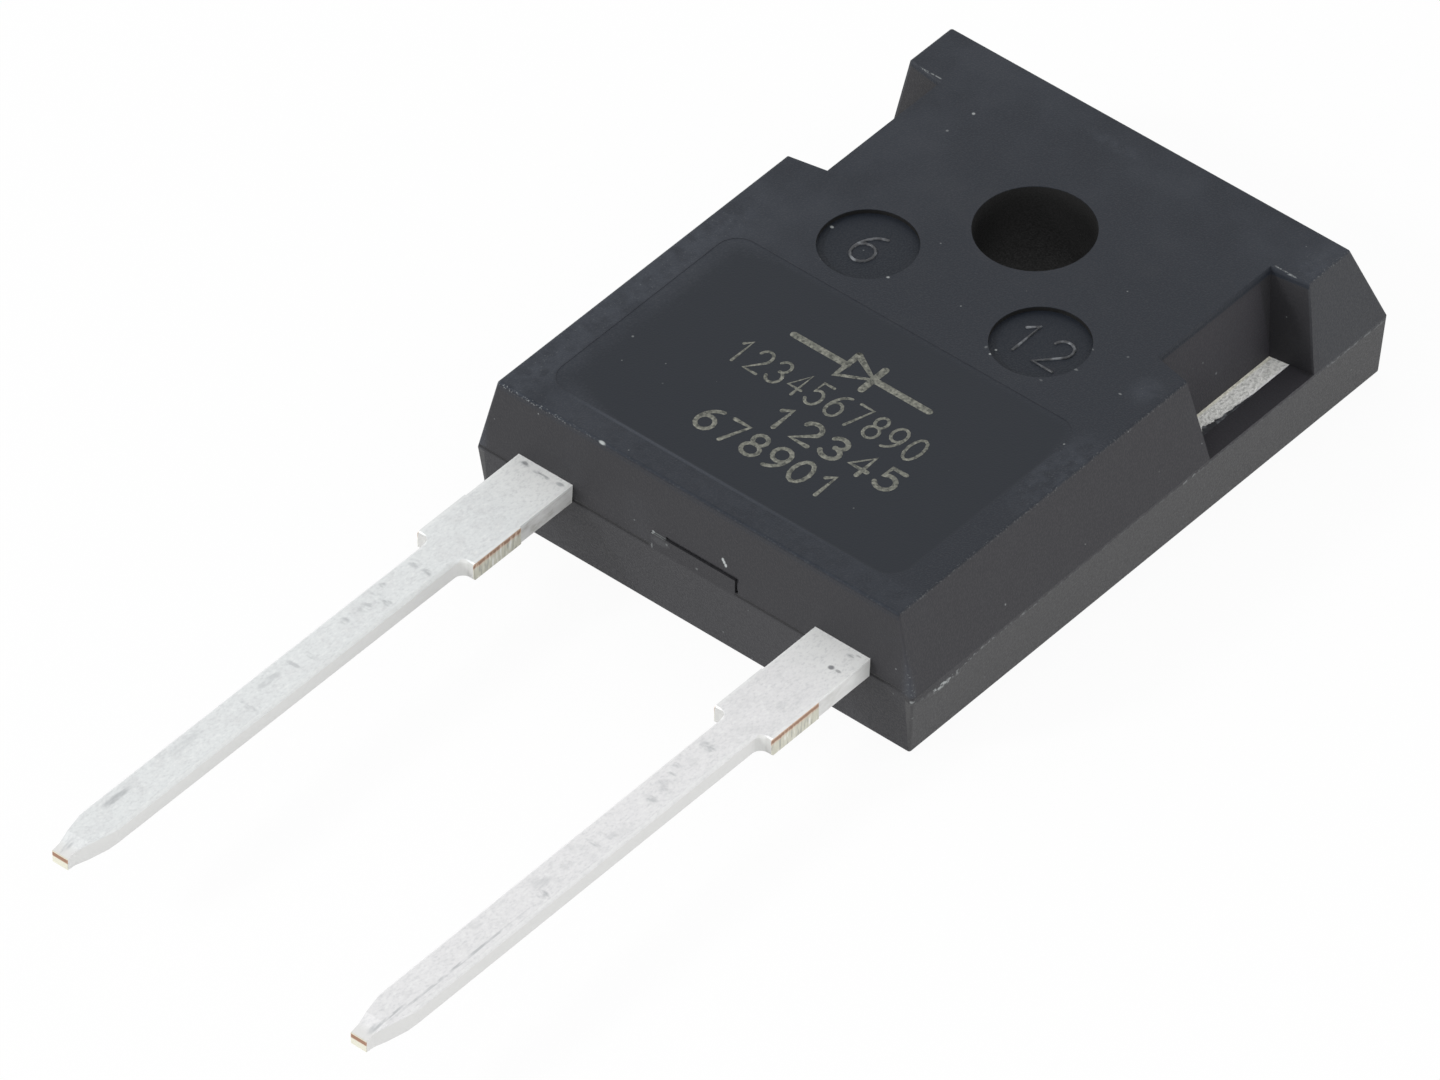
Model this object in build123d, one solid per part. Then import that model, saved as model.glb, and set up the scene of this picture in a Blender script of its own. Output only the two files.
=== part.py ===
# Power rectifier diode in a flat, two-lead, screw-down moulded package.
#
# Millimetres, +Z up out of the marked face. The origin is on the axis of the mounting
# hole, in the seating plane of the back. The leads run towards -Y, the screw end is +Y.
#
# A copper heat spreader and its cathode lead are one piece. The chip is soldered to the
# spreader, aluminium wires join the chip to the separate anode lead, and the black
# moulding locks them all together and lines the mounting hole.
from build123d import *
import os
from math import atan2, degrees, hypot, radians, tan

# ---- Moulded body ------------------------------------------------------------------
body_width = 16.0  # X, at the parting plane
body_length = 20.8  # Y, at the parting plane
body_height = 5.0  # back to marked face
parting_height = 2.26  # back to the plane where the two mould halves meet
hole_diameter = 3.6
hole_to_screw_end = 6.0
upper_side_draft = 13.5  # degrees each wall leans in from the parting plane
upper_lead_end_draft = 3.7
upper_screw_end_draft = 19.1
lower_side_draft = 6.0
lower_lead_end_draft = 4.2
lower_screw_end_draft = 0.5
corner_radius = 0.09  # the four upright corners
face_edge_radius = 0.09  # rim of the marked face
back_edge_radius = 0.08  # rim of the back

# ---- Side notches, where the mould's pins press the spreader down -------------------
notch_depth = 1.46  # in from the side, at the floor
notch_length = 4.1  # along Y, at the floor's inner edge
notch_centre_y = 0.44
notch_lead_end_flare = 11.0  # degrees the end walls open outwards in plan
notch_screw_end_flare = 8.4
notch_inner_draft = 10.0  # degrees the walls lean back from floor to marked face
notch_lead_end_draft = 8.2
notch_screw_end_draft = 13.3
left_notch_screw_end_draft = 2.0  # the -X pin was ground with an almost upright end

# ---- Relief on the marked face ------------------------------------------------------
mark_diameter = 2.95  # round ejector marks beside the hole
mark_depth = 0.17
mark_spacing = 6.33
mark_to_hole_y = 3.54
label_length = 8.1  # polished field for the laser mark
label_margin = 0.96  # kept clear of the face's two sides and lead end
label_depth = 0.012
label_corner_radius = 0.7

# ---- Filled slot at the lead end, where a third lead would leave the mould ----------
slot_pad_width = 3.1
slot_gap = 0.1  # groove where the pad shrank away from the upper half
slot_gap_depth = 0.1
slot_gap_length = 2.55  # the groove's run along the top of the pad
slot_gap_drop = 0.45  # the groove's run down the pad's +X end

# ---- Heat spreader ------------------------------------------------------------------
spreader_side_wall = 0.8  # moulding left beside the spreader
spreader_screw_end_wall = 1.1
spreader_lead_end_wall = 3.1
spreader_corner = 1.2  # chamfer of its two screw-end corners
hole_ring_wall = 1.5  # moulding between the mounting hole and the spreader
lock_step = 0.3  # undercut that keeps the spreader in the moulding
lock_height = 0.6

# ---- Leads --------------------------------------------------------------------------
lead_pitch = 10.9
lead_thickness = 0.63
lead_length = 20.1  # from the body's end face
root_width = 2.0  # the broad stretch next to the body
root_length = 4.2
lead_width = 1.2
shoulder_radius = 0.3  # where the broad stretch steps down
dam_bar_width = 2.0  # sheared stub of the bar that tied the leads together
dam_bar_stub = 0.04
taper_length = 1.7
nose_length = 0.3
nose_width = 0.56
nose_thickness = 0.4
nose_drop = 0.04  # the nose is coined a little more from above
coin_length = 0.75
lead_edge_bevel = 0.07

# ---- Lead ends inside the moulding --------------------------------------------------
inner_run = 0.9  # plain lead before it widens
tab_width = 3.4  # cathode tab that joins the spreader
tab_bend_radius = 0.5
tab_rise_angle = 35.0
tab_flat = 0.25  # level stretch between the spreader's edge and the bend
post_width = 5.6  # anode post that carries the wires
post_side_step = 0.05  # its outer edge, in from the spreader's
post_gap = 0.55  # between the post and the spreader's edge
post_corner_radius = 0.4
post_lock_hole = 0.9

# ---- Chip, solder and wires ---------------------------------------------------------
chip_side = 7.0
chip_thickness = 0.3
chip_to_lead_edge = 0.6
chip_mesa = 0.35  # rim left low round the contact pad
chip_pad_step = 0.03
solder_thickness = 0.06
solder_margin = 0.12
wire_count = 3
wire_diameter = 0.45
wire_pitch = 1.6
wire_flatten = 0.06  # how far a bond presses the wire flat
wire_foot_length = 0.8
wire_foot_width = 0.7
wire_foot_height = 0.25
wire_loop_height = 1.25  # of the crest's corner, above the anode post
wire_crest_share = 0.4  # of the wire's run, from the post to the crest
wire_crest_radius = 0.9
wire_chip_reach = 1.9  # from the chip's lead-side edge to the bond

# ---- Places worked out from the sizes -----------------------------------------------
screw_end_y = hole_to_screw_end
lead_end_y = screw_end_y - body_length
side_x = body_width / 2
upper_height = body_height - parting_height
face_half_width = side_x - upper_height * tan(radians(upper_side_draft))
face_lead_end_y = lead_end_y + upper_height * tan(radians(upper_lead_end_draft))
notch_floor_x = side_x - notch_depth
lead_top = parting_height + lead_thickness
lead_tip_y = lead_end_y - lead_length
root_end_y = lead_end_y - root_length
spreader_screw_y = screw_end_y - spreader_screw_end_wall
spreader_lead_y = lead_end_y + spreader_lead_end_wall
spreader_width = body_width - 2 * spreader_side_wall
post_inner_y = spreader_lead_y - post_gap
post_x = spreader_width / 2 - post_side_step - post_width / 2
inner_wide_y = lead_end_y + inner_run
chip_y = spreader_lead_y + chip_to_lead_edge + chip_side / 2
chip_floor = parting_height + solder_thickness
chip_top = chip_floor + chip_thickness


def plane_at(z, facing=1):
    """A level plane at height z, facing up (1) or down (-1)."""
    return Plane(origin=(0, 0, z), z_dir=(0, 0, facing))


def facing_walls(solid, axis):
    """The walls of a block that look along an axis, one way or the other."""
    walls = solid.faces().filter_by(axis)
    return walls.sort_by(axis)


# ---- Moulded body -------------------------------------------------------------------
def mould_half(z_low, z_high, side_draft, lead_end_draft, screw_end_draft, facing):
    """One half of the moulding: a block whose walls lean in away from the parting plane."""
    middle_y = (screw_end_y + lead_end_y) / 2
    block = Box(body_width, body_length, z_high - z_low, align=(Align.CENTER, Align.CENTER, Align.MIN))
    half = Pos(0, middle_y, z_low) * block
    parting = plane_at(parting_height, facing)
    half = draft(facing_walls(half.solid(), Axis.X), parting, side_draft)
    half = draft([facing_walls(half.solid(), Axis.Y)[0]], parting, lead_end_draft)
    half = draft([facing_walls(half.solid(), Axis.Y)[-1]], parting, screw_end_draft)
    return half


def upright_edges(solid):
    """The four corner edges that run from the parting plane to the far face."""
    return solid.edges().filter_by(lambda e: abs(e.tangent_at(0.5).Z) > 0.5)


def moulding_outside():
    """Both halves with rounded corners and rims, before anything is sunk into them."""
    upper = mould_half(
        parting_height, body_height, upper_side_draft, upper_lead_end_draft, upper_screw_end_draft, 1
    )
    upper = fillet(upright_edges(upper), corner_radius)
    upper = fillet(upper.faces().sort_by(Axis.Z)[-1].edges(), face_edge_radius)
    lower = mould_half(0, parting_height, lower_side_draft, lower_lead_end_draft, lower_screw_end_draft, -1)
    lower = fillet(upright_edges(lower), corner_radius)
    lower = fillet(lower.faces().sort_by(Axis.Z)[0].edges(), back_edge_radius)
    return upper + lower


def side_notch(screw_end_draft):
    """The space of the +X notch: a flared plan on the floor, drafted up through the face.

    The screw-end wall keeps its rim on the face, whatever its draft."""
    reach = notch_depth * 2
    lead_end = notch_centre_y - notch_length / 2
    rim_y = notch_centre_y + notch_length / 2 + upper_height * tan(radians(notch_screw_end_draft))
    screw_end = rim_y - upper_height * tan(radians(screw_end_draft))
    plan = Polygon(
        (notch_floor_x, lead_end),
        (notch_floor_x + reach, lead_end - reach * tan(radians(notch_lead_end_flare))),
        (notch_floor_x + reach, screw_end + reach * tan(radians(notch_screw_end_flare))),
        (notch_floor_x, screw_end),
        align=None,
    )
    space = extrude(plane_at(parting_height) * plan, body_height)
    floor = plane_at(parting_height, -1)
    walls = space.faces().filter_by(lambda f: abs(f.normal_at().Z) < 0.5)
    space = draft([walls.sort_by(Axis.X)[0]], floor, notch_inner_draft)
    walls = space.faces().filter_by(lambda f: abs(f.normal_at().Z) < 0.5)
    space = draft([walls.sort_by(Axis.Y)[0]], floor, notch_lead_end_draft)
    walls = space.faces().filter_by(lambda f: abs(f.normal_at().Z) < 0.5)
    space = draft([walls.sort_by(Axis.Y)[-1]], floor, screw_end_draft)
    return space


def face_relief():
    """What is sunk into the marked face: two round marks and the polished label field."""
    left_mark = Pos(-mark_spacing / 2, -mark_to_hole_y) * Circle(mark_diameter / 2)
    right_mark = Pos(mark_spacing / 2, -mark_to_hole_y) * Circle(mark_diameter / 2)
    marks = plane_at(body_height - mark_depth) * (left_mark + right_mark)
    label_width = 2 * (face_half_width - label_margin)
    label_y = face_lead_end_y + label_margin + label_length / 2
    label = Pos(0, label_y) * RectangleRounded(label_width, label_length, label_corner_radius)
    field = plane_at(body_height - label_depth) * label
    return extrude(marks, body_height) + extrude(field, body_height)


def slot_pad():
    """The pad that fills the unused middle lead slot, upright in the leaning end face."""
    wall_lean = upper_height * tan(radians(upper_lead_end_draft))
    pad = Box(slot_pad_width, wall_lean, lead_thickness, align=(Align.CENTER, Align.MIN, Align.MIN))
    return Pos(0, lead_end_y, parting_height) * pad


def slot_groove():
    """The fine groove over the pad and down its +X end."""
    corner_x = slot_pad_width / 2 + slot_gap
    run = Box(slot_gap_length + slot_gap, slot_gap_depth * 2, slot_gap, align=(Align.MAX, Align.CENTER, Align.MIN))
    drop = Box(slot_gap, slot_gap_depth * 2, slot_gap_drop, align=(Align.MAX, Align.CENTER, Align.MAX))
    return Pos(corner_x, lead_end_y, lead_top) * (run + drop)


def moulding(inner_pieces):
    """The black moulding, cast round everything that it holds."""
    body = moulding_outside() + slot_pad()
    body -= side_notch(notch_screw_end_draft)
    body -= mirror(side_notch(left_notch_screw_end_draft), about=Plane.YZ)
    body -= face_relief()
    body -= slot_groove()
    body -= Cylinder(hole_diameter / 2, body_height * 3)
    for piece in inner_pieces:
        body -= piece
    return body


# ---- Heat spreader with the cathode lead ---------------------------------------------
def spreader_plan(inset):
    """The spreader's outline, drawn in by an inset, with its clearance hole."""
    x = spreader_width / 2 - inset
    top = spreader_screw_y - inset
    bottom = spreader_lead_y + inset
    corner = spreader_corner
    outline = Polygon(
        (-x, bottom), (x, bottom), (x, top - corner), (x - corner, top),
        (corner - x, top), (-x, top - corner),
        align=None,
    )
    return outline - Circle(hole_diameter / 2 + hole_ring_wall + inset)


def spreader_plate():
    """The thick plate: full size above, stepped in where it shows on the back."""
    upper = extrude(plane_at(lock_height) * spreader_plan(0), parting_height - lock_height)
    lower = extrude(spreader_plan(lock_step), lock_height)
    return upper + lower


def lead_plan():
    """Plan of the stretch of lead outside the moulding, centred on X = 0, tip at -Y."""
    root = root_width / 2
    shank = lead_width / 2
    nose = nose_width / 2
    half = Polyline(
        (0, inner_wide_y),
        (root, inner_wide_y),
        (root, root_end_y),
        (shank, root_end_y),
        (shank, lead_tip_y + taper_length),
        (nose, lead_tip_y + nose_length),
        (nose, lead_tip_y),
        (0, lead_tip_y),
    )
    outline = make_face(half + Line((0, lead_tip_y), (0, inner_wide_y)))
    corner = outline.vertices().sort_by_distance((shank, root_end_y))[0]
    outline = fillet(corner, shoulder_radius)
    stub_y = root_end_y + dam_bar_width / 2
    stub = Pos(0, stub_y) * Rectangle(root + dam_bar_stub, dam_bar_width, align=(Align.MIN, Align.CENTER))
    outline += stub
    return outline + mirror(outline, about=Plane.YZ)


def coined_nose():
    """Everything but the slivers that coining takes off above and below the nose."""
    z_low = parting_height + (lead_thickness - nose_thickness) / 2 - nose_drop
    z_high = z_low + nose_thickness
    coin_y = lead_tip_y + coin_length
    profile = Polygon(
        (lead_tip_y, z_low),
        (coin_y, parting_height),
        (0, parting_height),
        (0, lead_top),
        (coin_y, lead_top),
        (lead_tip_y, z_high),
        align=None,
    )
    return extrude(Plane.YZ * profile, lead_pitch, both=True)


def outer_lead():
    """One lead from inside the body's end wall to its coined nose, centred on X = 0."""
    blank = extrude(plane_at(parting_height) * lead_plan(), lead_thickness)
    lead = blank & coined_nose()
    long_edges = lead.edges().filter_by(Axis.Y)
    shank_edges = long_edges.filter_by(lambda e: abs(abs(e.center().X) - lead_width / 2) < 0.01)
    return chamfer(shank_edges, lead_edge_bevel)


def cathode_tab():
    """The tab that steps down from the lead's level to the spreader's upper edge."""
    low = parting_height - lead_thickness / 2
    high = parting_height + lead_thickness / 2
    rise_run = (high - low) / tan(radians(tab_rise_angle))
    foot_y = spreader_lead_y - tab_flat
    centre_line = FilletPolyline(
        (spreader_lead_y, low),
        (foot_y, low),
        (foot_y - rise_run, high),
        (inner_wide_y, high),
        radius=tab_bend_radius,
    )
    profile = Plane.YZ * trace(centre_line, lead_thickness)
    return extrude(profile, tab_width / 2, both=True)


def heat_spreader():
    """Spreader plate, bent tab and cathode lead, stamped from one strip."""
    lead = Pos(-lead_pitch / 2, 0, 0) * (outer_lead() + cathode_tab())
    return spreader_plate() + lead


# ---- Anode lead -----------------------------------------------------------------------
def anode_lead():
    """The loose lead: its inner end spreads into the post that the wires are bonded to."""
    x = lead_pitch / 2
    post_depth = post_inner_y - inner_wide_y
    post_y = inner_wide_y + post_depth / 2
    post = Pos(post_x, post_y) * RectangleRounded(post_width, post_depth, post_corner_radius)
    post -= Pos(x, post_y) * Circle(post_lock_hole / 2)
    return Pos(x, 0, 0) * outer_lead() + extrude(plane_at(parting_height) * post, lead_thickness)


# ---- Chip and solder ------------------------------------------------------------------
def die_solder():
    """The solder film under the chip, squeezed out a little past its edges."""
    side = chip_side + 2 * solder_margin
    film = Pos(0, chip_y) * Rectangle(side, side)
    return extrude(plane_at(parting_height) * film, solder_thickness)


def diode_chip():
    """The silicon chip: a sawn square with its contact pad standing above the rim."""
    square = Pos(0, chip_y) * Rectangle(chip_side, chip_side)
    pad = Pos(0, chip_y) * Rectangle(chip_side - 2 * chip_mesa, chip_side - 2 * chip_mesa)
    body = extrude(plane_at(chip_floor) * square, chip_thickness - chip_pad_step)
    return body + extrude(plane_at(chip_floor) * pad, chip_thickness)


# ---- Bond wires -----------------------------------------------------------------------
def wire_foot(x, z):
    """The wedge-shaped flat that bonding squeezes out of the wire's end."""
    foot = Rectangle(wire_foot_length + wire_diameter, wire_foot_width)
    foot = chamfer(foot.vertices(), wire_foot_width / 4)
    return Pos(x, 0, z) * extrude(foot, wire_foot_height)


def bond_wire(index):
    """One wire from the anode post up over the gap and down to the chip."""
    offset = (index - (wire_count - 1) / 2) * wire_pitch
    start = (post_x + offset, (post_inner_y + inner_wide_y) / 2)
    end = (offset, chip_y - chip_side / 2 + wire_chip_reach)
    run_x = end[0] - start[0]
    run_y = end[1] - start[1]
    span = hypot(run_x, run_y)
    radius = wire_diameter / 2
    half_foot = wire_foot_length / 2
    post_z = lead_top + radius - wire_flatten
    chip_z = chip_top + radius - wire_flatten
    crest = (span * wire_crest_share, lead_top + wire_loop_height)
    route = Polyline(
        (-half_foot, post_z),
        (half_foot, post_z),
        crest,
        (span - half_foot, chip_z),
        (span + half_foot, chip_z),
    )
    route = fillet(route.vertices().sort_by_distance(crest)[0], wire_crest_radius)
    path = Plane.XZ * route
    start_plane = Plane(origin=path @ 0, z_dir=path % 0)
    wire = sweep(start_plane * Circle(radius), path=path, transition=Transition.RIGHT)
    wire += wire_foot(0, lead_top) + wire_foot(span, chip_top)
    under_foot = Box(wire_foot_length * 2, span, radius, align=(Align.CENTER, Align.CENTER, Align.MAX))
    wire -= Pos(0, 0, lead_top) * under_foot
    wire -= Pos(span, 0, chip_top) * under_foot
    turn = Rot(0, 0, degrees(atan2(run_y, run_x)))
    return Pos(start[0], start[1], 0) * turn * wire


# ---- Assembly -------------------------------------------------------------------------
pieces = {
    "heat_spreader": heat_spreader(),
    "anode_lead": anode_lead(),
    "die_solder": die_solder(),
    "diode_chip": diode_chip(),
}
for number in range(wire_count):
    pieces[f"bond_wire_{number + 1}"] = bond_wire(number)
pieces["moulded_body"] = moulding(list(pieces.values()))

os.makedirs("parts", exist_ok=True)
for name, piece in pieces.items():
    export_step(piece, f"parts/{name}.step")
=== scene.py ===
# Power rectifier diode in a flat, two-lead, screw-down package: the finish of its pieces, in the
# order in which they are put together. Lengths are named in millimetres, as on a drawing, and
# become metres where a mesh is made. Colours are linear.
import random
from math import cos, radians, sin, tan

import bmesh
import bpy
from mathutils import Matrix, Vector


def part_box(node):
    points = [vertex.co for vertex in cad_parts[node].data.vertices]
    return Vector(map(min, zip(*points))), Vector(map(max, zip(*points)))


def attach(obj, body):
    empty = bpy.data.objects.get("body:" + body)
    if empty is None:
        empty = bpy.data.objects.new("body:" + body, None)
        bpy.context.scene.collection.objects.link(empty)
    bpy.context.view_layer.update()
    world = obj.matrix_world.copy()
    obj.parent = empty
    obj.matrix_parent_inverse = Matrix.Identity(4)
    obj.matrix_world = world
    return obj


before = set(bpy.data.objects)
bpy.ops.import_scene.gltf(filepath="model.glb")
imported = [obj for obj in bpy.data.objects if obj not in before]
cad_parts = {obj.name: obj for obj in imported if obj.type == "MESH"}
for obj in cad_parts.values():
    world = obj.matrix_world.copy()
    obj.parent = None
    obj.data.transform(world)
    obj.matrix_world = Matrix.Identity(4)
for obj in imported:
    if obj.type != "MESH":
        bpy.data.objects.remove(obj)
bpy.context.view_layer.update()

MM = 0.001


# ---- Heat spreader with the cathode lead -----------------------------------------------------
# One piece, stamped and bent from copper strip, then tin-plated to a satin, faintly mottled
# finish. Cutting the leads free afterwards bares copper round the sheared dam bar and on the tip,
# and handling leaves grey rubs across the shank.
def add_node(tree, kind, feeds=None, result=0, **settings):
    """Adds a node, feeds its inputs with values or with other nodes' outputs, and hands back one
    of its outputs."""
    node = tree.nodes.new(kind)
    for setting, value in settings.items():
        setattr(node, setting, value)
    for socket, value in (feeds or {}).items():
        if isinstance(value, bpy.types.NodeSocket):
            tree.links.new(value, node.inputs[socket])
        else:
            node.inputs[socket].default_value = value
    return node.outputs[result]


class Finish:
    """A node material being put together; most calls add one node and hand back its output."""

    def __init__(self, name, **constants):
        self.material = bpy.data.materials.new(name)
        self.material.use_nodes = True
        self.tree = self.material.node_tree
        self.shader = self.tree.nodes["Principled BSDF"]
        for socket, value in constants.items():
            self.shader.inputs[socket.replace("_", " ")].default_value = value
        metres = self.add("TexCoord", result="Object")
        self.place = self.add("VectorMath", {"Vector": metres, "Scale": 1 / MM}, operation="SCALE")
        self.x, self.y, self.z = self.add("SeparateXYZ", {0: self.place}).node.outputs
        self.colour = None
        self.roughness = None
        self.metallic = None
        self.height = None

    def add(self, kind, feeds=None, result=0, **settings):
        return add_node(self.tree, "ShaderNode" + kind, feeds, result, **settings)

    def math(self, operation, *values):
        return self.add("Math", dict(enumerate(values)), operation=operation)

    def vector(self, operation, *values):
        return self.add("VectorMath", dict(enumerate(values)), operation=operation)

    def length(self, vector):
        return self.add("VectorMath", {0: vector}, result="Value", operation="LENGTH")

    def flat_length(self, x, y):
        """The length of an offset along X and Y."""
        return self.length(self.add("CombineXYZ", {0: x, 1: y}))

    def between(self, mask, low, high):
        """A value that goes from low to high as the mask goes from 0 to 1."""
        return self.add("MapRange", {"Value": mask, "To Min": low, "To Max": high})

    def both(self, first, *others):
        """Where every one of these masks holds."""
        for other in others:
            first = self.math("MULTIPLY", first, other)
        return first

    def either(self, first, *others):
        """Where any one of these masks holds."""
        for other in others:
            first = self.math("MAXIMUM", first, other)
        return first

    def rise(self, value, start, end):
        """A mask that goes smoothly from 0 to 1 as the value goes from start to end."""
        feeds = {"Value": value, "From Min": start, "From Max": end}
        return self.add("MapRange", feeds, interpolation_type="SMOOTHSTEP")

    def within(self, value, low, high, soft):
        """A mask that holds between low and high, with a soft edge."""
        return self.both(self.rise(value, low - soft, low), self.rise(value, high + soft, high))

    def noise(self, size, stretch=(1, 1, 1), detail=2.0, seed=0.0):
        """Cloudy noise whose blotches are about this size, drawn out along the axes."""
        squeezed = self.vector("MULTIPLY", self.place, [1 / s for s in stretch])
        feeds = {"Vector": squeezed, "W": seed, "Scale": 1 / size, "Detail": detail}
        return self.add("TexNoise", feeds, noise_dimensions="4D")

    def blot(self, centre, reach, soft=0.4):
        """A mask round a place, reaching this far along each axis."""
        offset = self.vector("SUBTRACT", self.place, centre)
        shares = self.vector("MULTIPLY", offset, [1 / r for r in reach])
        return self.rise(self.length(shares), 1 + soft, 1 - soft)

    def paint(self, colour, mask=1.0):
        """Lays a colour over what is there, where the mask holds."""
        if self.colour is None:
            self.colour = (*colour, 1)
            return
        feeds = {0: mask, 6: self.colour, 7: (*colour, 1)}
        self.colour = self.add("Mix", feeds, result=2, data_type="RGBA")

    def roughen(self, amount, mask=1.0):
        """The first call sets the whole skin's roughness, a later one turns it where a mask holds."""
        first = self.roughness is None
        self.roughness = amount if first else self.between(mask, self.roughness, amount)

    def plate(self, amount, mask=1.0):
        """How far the skin is bare metal, from 0 to 1, set and turned in the same way."""
        first = self.metallic is None
        self.metallic = amount if first else self.between(mask, self.metallic, amount)

    def emboss(self, height, relief):
        """Adds relief, in millimetres, that follows a height from 0 to 1."""
        lift = self.math("MULTIPLY", height, relief)
        self.height = lift if self.height is None else self.math("ADD", self.height, lift)

    def done(self):
        """Plugs everything into the shader and hands back the material."""
        sockets = {"Base Color": self.colour, "Roughness": self.roughness, "Metallic": self.metallic}
        for socket, value in sockets.items():
            if isinstance(value, bpy.types.NodeSocket):
                self.tree.links.new(value, self.shader.inputs[socket])
            elif value is not None:
                self.shader.inputs[socket].default_value = value
        bump = self.add("Bump", {"Height": self.height, "Distance": MM})
        self.tree.links.new(bump, self.shader.inputs["Normal"])
        return self.material


def dress(node_name, material):
    """Gives a CAD node its finish."""
    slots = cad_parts[node_name].data.materials
    slots.clear()
    slots.append(material)


body_low, body_high = (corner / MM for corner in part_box("moulded_body"))
lead_low, lead_high = (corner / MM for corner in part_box("anode_lead"))
lead_pitch = 10.9
root_half_width = 1.0
root_length = 4.2
dam_bar_width = 2.0
shank_half_width = 0.6
lead_end_y = body_low.y
root_end_y = lead_end_y - root_length
lead_tip_y = lead_low.y
lead_top = lead_high.z
parting_height = lead_low.z
notch_floor_x = 6.54
spreader_edge_x = 7.2
plate_start_y = lead_end_y + 5.0
spot_depth = 0.2

cathode_tin = (0.750, 0.770, 0.772)
tin_dull = (0.650, 0.655, 0.660)
tin_grain = (0.580, 0.590, 0.600)
tin_bright = (0.870, 0.880, 0.870)
tin_side = (0.690, 0.690, 0.680)
tin_shade = (0.470, 0.465, 0.440)
painted_shoulder_shade = (0.580, 0.580, 0.565)
painted_far_shoulder_shade = (0.530, 0.530, 0.520)
blasted_tin = (1.000, 1.000, 0.970)
blasted_shade = (0.640, 0.645, 0.620)
blasted_inner_edge = (1.000, 0.970, 0.820)
blasted_outer_highlight = (1.000, 1.000, 1.000)
rubbed_tin = (0.455, 0.470, 0.480)
copper_line = (0.250, 0.135, 0.090)
bare_copper = (0.640, 0.430, 0.300)
sheared_metal = (0.620, 0.610, 0.520)
shear_shade = (0.330, 0.335, 0.320)
dint_colour = (0.100, 0.105, 0.120)


def sheared_bar(finish, out):
    """The sheared faces of the dam bar, one each side of the root."""
    along_bar = finish.within(finish.y, root_end_y, root_end_y + dam_bar_width, 0.03)
    bar_face = finish.both(
        along_bar,
        finish.rise(out, root_half_width + 0.02, root_half_width + 0.035),
        finish.rise(finish.z, lead_top - 0.01, lead_top - 0.03),
    )
    shear_lines = finish.noise(0.11, stretch=(1, 1, 5), detail=4.0, seed=9.0)
    finish.paint(sheared_metal, bar_face)
    finish.paint(tin_bright, finish.both(bar_face, finish.rise(shear_lines, 0.46, 0.32), 0.7))
    finish.paint(shear_shade, finish.both(bar_face, finish.rise(shear_lines, 0.50, 0.66), 0.7))
    finish.roughen(0.75, bar_face)
    finish.plate(0.2, bar_face)
    waver = finish.both(finish.math("SUBTRACT", shear_lines, 0.5), 0.16)
    wavering = finish.math("ADD", finish.z, waver)
    bar_top = finish.rise(wavering, lead_top - 0.25, lead_top - 0.15)
    finish.paint(bare_copper, finish.both(bar_face, bar_top, 0.8))
    dark_line = finish.within(wavering, lead_top - 0.14, lead_top - 0.08, 0.05)
    broken = finish.rise(shear_lines, 0.30, 0.50)
    finish.paint(copper_line, finish.both(bar_face, dark_line, broken, 0.8))


def cropped_tip(finish, out):
    """Copper shows as a line across the upper part of the cropped end."""
    tip_end = finish.rise(finish.y, lead_tip_y + 0.03, lead_tip_y + 0.01)
    tip_mid = (lead_top + parting_height) / 2
    finish.paint(sheared_metal, tip_end)
    copper = finish.both(tip_end, finish.within(finish.z, tip_mid + 0.01, tip_mid + 0.11, 0.04))
    finish.paint(bare_copper, copper)
    finish.paint(copper_line, finish.both(copper, finish.rise(out, 0.34, 0.24), 0.9))


def blasted_strip(finish):
    """Where the plate shows in the notches it stays as it was blasted, white and sparkling."""
    in_notch = finish.both(
        finish.rise(finish.y, plate_start_y, plate_start_y + 0.5),
        finish.rise(finish.z, parting_height - 0.04, parting_height - 0.02),
    )
    sparkle = finish.noise(0.085, detail=5.0, seed=4.0)
    finish.paint(blasted_tin, in_notch)
    finish.paint(blasted_shade, finish.both(in_notch, finish.rise(sparkle, 0.46, 0.62), 0.8))
    from_middle = finish.math("ABSOLUTE", finish.x)
    inner_edge = finish.rise(from_middle, notch_floor_x + 0.14, notch_floor_x + 0.04)
    finish.paint(blasted_inner_edge, finish.both(in_notch, inner_edge, 0.8))
    # A painted highlight along the strip's outer edge.
    outer_edge = finish.rise(from_middle, spreader_edge_x - 0.09, spreader_edge_x - 0.03)
    finish.paint(blasted_outer_highlight, finish.both(in_notch, outer_edge, 0.9))
    finish.plate(0.0, in_notch)
    finish.roughen(0.9, in_notch)
    finish.emboss(finish.both(sparkle, in_notch), 0.07)


def scratched_back(finish):
    """The plate's back has long faint scratches from sliding on trays and tubes."""
    on_back = finish.rise(finish.z, 0.02, 0.01)
    scratches = finish.noise(0.10, stretch=(1, 30, 1), detail=3.0, seed=13.0)
    finish.paint(tin_dull, finish.both(on_back, finish.rise(scratches, 0.52, 0.66), 0.5))
    finish.roughen(0.50, finish.both(on_back, finish.rise(scratches, 0.40, 0.60)))
    finish.plate(0.60, on_back)


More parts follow.
